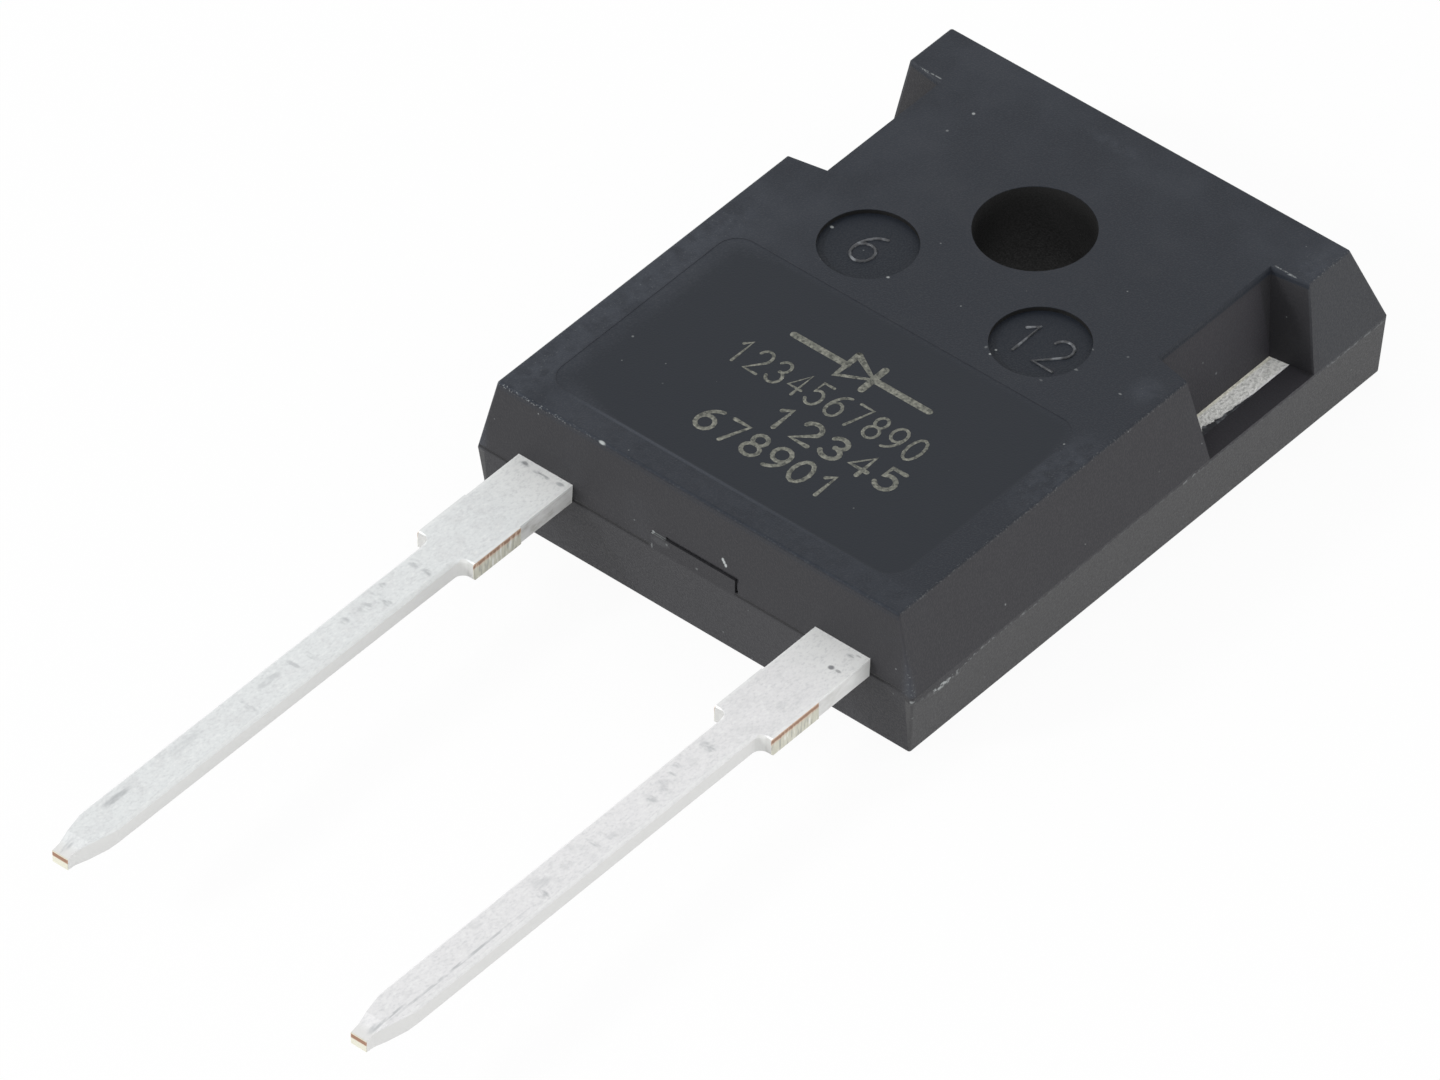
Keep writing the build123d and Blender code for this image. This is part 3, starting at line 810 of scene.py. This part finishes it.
def stroke_bead_tree():
    """Geometry Nodes: a bead along each stroke, with round ends, pressed to its height."""
    tree = bpy.data.node_groups.new("stroke_bead", "GeometryNodeTree")
    kinds = {"Geometry": "Geometry", "Width": "Float", "Height": "Float", "Finish": "Material"}
    for socket, kind in kinds.items():
        tree.interface.new_socket(socket, in_out="INPUT", socket_type="NodeSocket" + kind)
    tree.interface.new_socket("Geometry", in_out="OUTPUT", socket_type="NodeSocketGeometry")
    given = tree.nodes.new("NodeGroupInput").outputs
    result = tree.nodes.new("NodeGroupOutput").inputs
    stroke = given["Geometry"]

    radius = add_node(tree, "ShaderNodeMath", {0: given["Width"], 1: 0.5}, operation="MULTIPLY")
    feeds = {"Resolution": bead_sides, "Radius": radius}
    section = add_node(tree, "GeometryNodeCurvePrimitiveCircle", feeds)
    feeds = {"Curve": stroke, "Profile Curve": section, "Fill Caps": True}
    bead = add_node(tree, "GeometryNodeCurveToMesh", feeds)

    feeds = {"Segments": bead_sides, "Rings": bead_sides // 2, "Radius": radius}
    ball = add_node(tree, "GeometryNodeMeshUVSphere", feeds)
    ends = add_node(tree, "GeometryNodeCurveEndpointSelection")
    feeds = {"Points": stroke, "Selection": ends, "Instance": ball}
    balls = add_node(tree, "GeometryNodeInstanceOnPoints", feeds)
    joined = add_node(tree, "GeometryNodeJoinGeometry", {0: bead})
    tree.links.new(balls, joined.node.inputs[0])

    flatness = add_node(tree, "ShaderNodeMath", {0: given["Height"], 1: radius}, operation="DIVIDE")
    press = add_node(tree, "ShaderNodeCombineXYZ", {"X": 1, "Y": 1, "Z": flatness})
    pressed = add_node(tree, "GeometryNodeTransform", {"Geometry": joined, "Scale": press})
    real = add_node(tree, "GeometryNodeRealizeInstances", {0: pressed})
    smooth = add_node(tree, "GeometryNodeSetShadeSmooth", {0: real})
    feeds = {"Geometry": smooth, "Material": given["Finish"]}
    painted = add_node(tree, "GeometryNodeSetMaterial", feeds)
    tree.links.new(painted, result["Geometry"])
    return tree


bead_tree = stroke_bead_tree()


def riding(name, mesh):
    """An object of this mesh that stays with the part."""
    piece = bpy.data.objects.new(name, mesh)
    bpy.context.scene.collection.objects.link(piece)
    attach(piece, "root")
    return piece


def beaded(name, strokes, width, height, floor_z, material):
    """A mesh of beads along these strokes, lying on a floor, each standing up by its height."""
    curve = bpy.data.curves.new(name, "CURVE")
    curve.dimensions = "3D"
    for stroke in strokes:
        spline = curve.splines.new("POLY")
        spline.points.add(len(stroke) - 1)
        for point, (x, y) in zip(spline.points, stroke):
            point.co = (x * MM, y * MM, 0, 1)
    guide = bpy.data.objects.new(name + "_guide", curve)
    bpy.context.scene.collection.objects.link(guide)
    modifier = guide.modifiers.new("beads", "NODES")
    modifier.node_group = bead_tree
    values = {"Width": width * MM, "Height": height * MM, "Finish": material}
    for item in bead_tree.interface.items_tree:
        if item.in_out == "INPUT" and item.name in values:
            modifier[item.identifier] = values[item.name]
    seen = guide.evaluated_get(bpy.context.evaluated_depsgraph_get())
    mesh = bpy.data.meshes.new_from_object(seen)
    bpy.data.objects.remove(guide)
    mesh.transform(Matrix.Translation((0, 0, floor_z * MM)))
    mesh.name = name
    return riding(name, mesh)


def number_strokes(digits, left, base, height, width, pitch):
    """The strokes of a row of digits, from its left end and base line."""
    strokes = []
    for place, digit in enumerate(digits):
        x = left + place * pitch
        for stroke in digit_strokes[digit]:
            strokes.append([(x + u * width, base + v * height) for u, v in stroke])
    return strokes


def bead_epoxy():
    """The beads' skin, smoother than the floor round it because a cutter made its mould. It is
    painted paler than the floor, as painted light, with patches of painted highlight.
    """
    finish = Finish("bead_epoxy", IOR=1.5)
    sheen = finish.noise(0.28, detail=2.0)
    finish.paint(dust_and_painted_light)
    finish.paint(bead_highlight, finish.rise(sheen, 0.46, 0.66))
    finish.roughen(0.30)
    finish.roughen(0.42, sheen)
    finish.emboss(finish.noise(0.05), 0.003)
    return finish.done()


bead_skin = bead_epoxy()
cavity_numbers = [
    ("left_cavity_number", "6", -mark_spacing / 2),
    ("right_cavity_number", "12", mark_spacing / 2),
]
for name, digits, mark_x in cavity_numbers:
    row_width = (len(digits) - 1) * cavity_pitch + cavity_width
    left = mark_x - row_width / 2
    base = mark_y - cavity_height / 2
    strokes = number_strokes(digits, left, base, cavity_height, cavity_width, cavity_pitch)
    beaded(name, strokes, bead_width, bead_height, mark_floor, bead_skin)


# ---- Laser mark -------------------------------------------------------------------------------
# Burnt into the polished field by a laser, which leaves pale, slightly grainy strokes: the plain
# circuit symbol of a diode in broad strokes, and rows of plain digits in finer ones.
laser_burnt = (0.160, 0.163, 0.140)
laser_pale = (0.250, 0.250, 0.215)
laser_dark = (0.060, 0.063, 0.058)


def lasered_epoxy():
    finish = Finish("lasered_epoxy", IOR=1.4)
    char = finish.noise(0.09, detail=3.0, seed=1.0)
    finish.paint(laser_burnt)
    finish.paint(laser_pale, finish.rise(char, 0.48, 0.32))
    finish.paint(laser_dark, finish.both(finish.rise(char, 0.50, 0.64), 0.85))
    finish.roughen(0.8)
    finish.roughen(0.95, char)
    finish.emboss(char, 0.004)
    return finish.done()


laser_skin = lasered_epoxy()
laser_relief = 0.008
symbol_left = -2.3
symbol_right = 2.65
symbol_mid_y = -7.76
symbol_half_height = 0.52
triangle_base_x = -0.35
triangle_tip_x = 0.62
symbol_top = symbol_mid_y + symbol_half_height
symbol_bottom = symbol_mid_y - symbol_half_height
upper_corner = (triangle_base_x, symbol_top)
lower_corner = (triangle_base_x, symbol_bottom)
triangle_tip = (triangle_tip_x, symbol_mid_y)
symbol = [
    [(symbol_left, symbol_mid_y), (triangle_base_x, symbol_mid_y)],
    [upper_corner, triangle_tip, lower_corner, upper_corner],
    [(triangle_tip_x, symbol_top), (triangle_tip_x, symbol_bottom)],
    [triangle_tip, (symbol_right, symbol_mid_y)],
]
# Each row: its name, its strokes (digits, left end, base line, height, width, pitch), stroke width.
mark_rows = [
    ("laser_symbol", symbol, 0.23),
    ("laser_row_1", number_strokes("1234567890", -3.22, -9.70, 0.96, 0.46, 0.707), 0.10),
    ("laser_row_2", number_strokes("12345", -0.62, -11.05, 0.88, 0.62, 0.98), 0.16),
    ("laser_row_3", number_strokes("678901", -2.12, -12.40, 0.92, 0.56, 0.845), 0.14),
]
for name, strokes, stroke_width in mark_rows:
    beaded(name, strokes, stroke_width, laser_relief, label_floor, laser_skin)


# ---- Flash over the spreader's edge -----------------------------------------------------------
# A thin film of epoxy that crept under the mould's pin onto the strip of plate that shows in each
# notch. It thickens towards the lead end and its edge is ragged.
flash_length = 0.62 * (notch_high_y - notch_low_y)
flash_thickness = 0.02
flash_reach = 0.20
flash_least_reach = 0.012
flash_overlap = 0.03
flash_bedding = 0.005
flash_step = 0.03


def flash_film(name, side, seed):
    rng = random.Random(seed)
    waves = [(rng.uniform(3, 30), rng.uniform(0, 6.28), rng.uniform(0.3, 1.0)) for _ in range(9)]
    film = bmesh.new()
    steps = int(flash_length / flash_step)
    rows = []
    for step in range(steps + 1):
        y = notch_low_y + step * flash_step
        fade = 1 - step / steps
        ripple = sum(size * sin(rate * y + start) for rate, start, size in waves) / 4
        crumb = (0.01 + 0.05 * fade) * rng.random()
        reach = max(flash_least_reach, flash_reach * fade * (1 + 0.55 * ripple) + crumb)
        inner_x = spreader_edge_x - reach
        outer_x = spreader_edge_x + flash_overlap
        low = parting_height - flash_bedding
        high = parting_height + flash_thickness * (0.4 + 0.6 * fade)
        corners = [(inner_x, low), (outer_x, low), (outer_x, high), (inner_x + reach * 0.3, high)]
        rows.append([film.verts.new((side * x * MM, y * MM, z * MM)) for x, z in corners])
    for near, far in zip(rows, rows[1:]):
        for corner in range(4):
            film.faces.new((near[corner], near[corner - 3], far[corner - 3], far[corner]))
    film.faces.new(rows[0])
    film.faces.new(rows[-1])
    bmesh.ops.recalc_face_normals(film, faces=film.faces)
    mesh = bpy.data.meshes.new(name)
    film.to_mesh(mesh)
    film.free()
    # The film takes the beads' skin, with its painted light and painted highlight.
    mesh.materials.append(bead_skin)
    riding(name, mesh)


flash_film("right_notch_flash", 1, 11)
flash_film("left_notch_flash", -1, 23)


# ---- Stage ------------------------------------------------------------------------------------
# A pale table under a plain white tent, with a small lamp ahead to the left and two long soft
# ones near the table, ahead and to the right. The table and the tent look white to the eye and in
# gloss, and the part's shadow stays.
view_azimuth = 41.05
view_elevation = 42.93
view_distance = 463.6
view_roll = 0.473
lens_length = 416.3
view_target = Vector((-0.125, -13.486, (body_low.z + body_high.z) / 2))

toward = Vector((
    sin(radians(view_azimuth)) * cos(radians(view_elevation)),
    -cos(radians(view_azimuth)) * cos(radians(view_elevation)),
    sin(radians(view_elevation)),
))
camera = bpy.data.objects.new("camera", bpy.data.cameras.new("camera"))
bpy.context.scene.collection.objects.link(camera)
camera.data.lens = lens_length
camera.data.sensor_width = 36
camera.data.clip_start = 10 * MM
camera.location = (view_target + toward * view_distance) * MM
level_view = (-toward).to_track_quat("-Z", "Y").to_matrix()
roll = Matrix.Rotation(radians(-view_roll), 3, "Z")
camera.rotation_euler = (level_view @ roll).to_euler()
bpy.context.scene.camera = camera


def glow_for(tree, camera_share, gloss_share):
    """How much of a surface is plain white glow, for the camera and for reflections alone."""
    path = tree.nodes.new("ShaderNodeLightPath")
    shares = {
        "Is Camera Ray": camera_share,
        "Is Glossy Ray": gloss_share,
        "Is Transmission Ray": gloss_share,
    }
    glow = 0.0
    for ray, share in shares.items():
        feeds = {0: path.outputs[ray], 1: share, 2: glow}
        glow = add_node(tree, "ShaderNodeMath", feeds, operation="MULTIPLY_ADD")
    return glow


table_clearance = 0.01
table_white = (0.92, 0.92, 0.92, 1)
table_glow = 0.94
half_table = 1500 * MM
table_z = (body_low.z - table_clearance) * MM
table_corners = [
    (-half_table, -half_table, table_z),
    (half_table, -half_table, table_z),
    (half_table, half_table, table_z),
    (-half_table, half_table, table_z),
]
table_mesh = bpy.data.meshes.new("table")
table_mesh.from_pydata(table_corners, [], [(0, 1, 2, 3)])
table = bpy.data.objects.new("table", table_mesh)
bpy.context.scene.collection.objects.link(table)
table_paint = bpy.data.materials.new("table_paint")
table_paint.use_nodes = True
table_tree = table_paint.node_tree
table_shader = table_tree.nodes["Principled BSDF"]
table_shader.inputs["Base Color"].default_value = table_white
table_shader.inputs["Roughness"].default_value = 1.0
table_shader.inputs["Specular IOR Level"].default_value = 0.0
white_glow = add_node(table_tree, "ShaderNodeEmission")
feeds = {0: glow_for(table_tree, table_glow, 1.0), 1: table_shader.outputs[0], 2: white_glow}
table_skin = add_node(table_tree, "ShaderNodeMixShader", feeds)
table_tree.links.new(table_skin, table_tree.nodes["Material Output"].inputs["Surface"])
table_mesh.materials.append(table_paint)

tent_light = 0.75
world = bpy.data.worlds.new("tent")
world.use_nodes = True
bpy.context.scene.world = world
tent_tree = world.node_tree
tent = tent_tree.nodes["Background"]
tent.inputs["Color"].default_value = (1, 1, 1, 1)
feeds = {"Value": glow_for(tent_tree, 1.0, 1.0), "To Min": tent_light, "To Max": 1.0}
tent_strength = add_node(tent_tree, "ShaderNodeMapRange", feeds)
tent_tree.links.new(tent_strength, tent.inputs["Strength"])

lamp_distance = 700


def soft_lamp(name, direction, width, height, power):
    """A softbox that looks at the part from this direction."""
    lamp = bpy.data.objects.new(name, bpy.data.lights.new(name, "AREA"))
    bpy.context.scene.collection.objects.link(lamp)
    lamp.data.shape = "RECTANGLE"
    lamp.data.size = width * MM
    lamp.data.size_y = height * MM
    lamp.data.energy = power
    toward_lamp = Vector(direction).normalized()
    lamp.location = (view_target + toward_lamp * lamp_distance) * MM
    lamp.rotation_euler = (-toward_lamp).to_track_quat("-Z", "Y").to_euler()


soft_lamp("front_left_lamp", (-0.48, -0.68, 0.55), width=110, height=110, power=1.7)
soft_lamp("front_low_lamp", (-0.25, -0.96, 0.12), width=500, height=150, power=1.8)
soft_lamp("right_low_lamp", (0.93, 0.36, 0.12), width=500, height=150, power=1.1)

bpy.context.scene.view_settings.view_transform = "Standard"
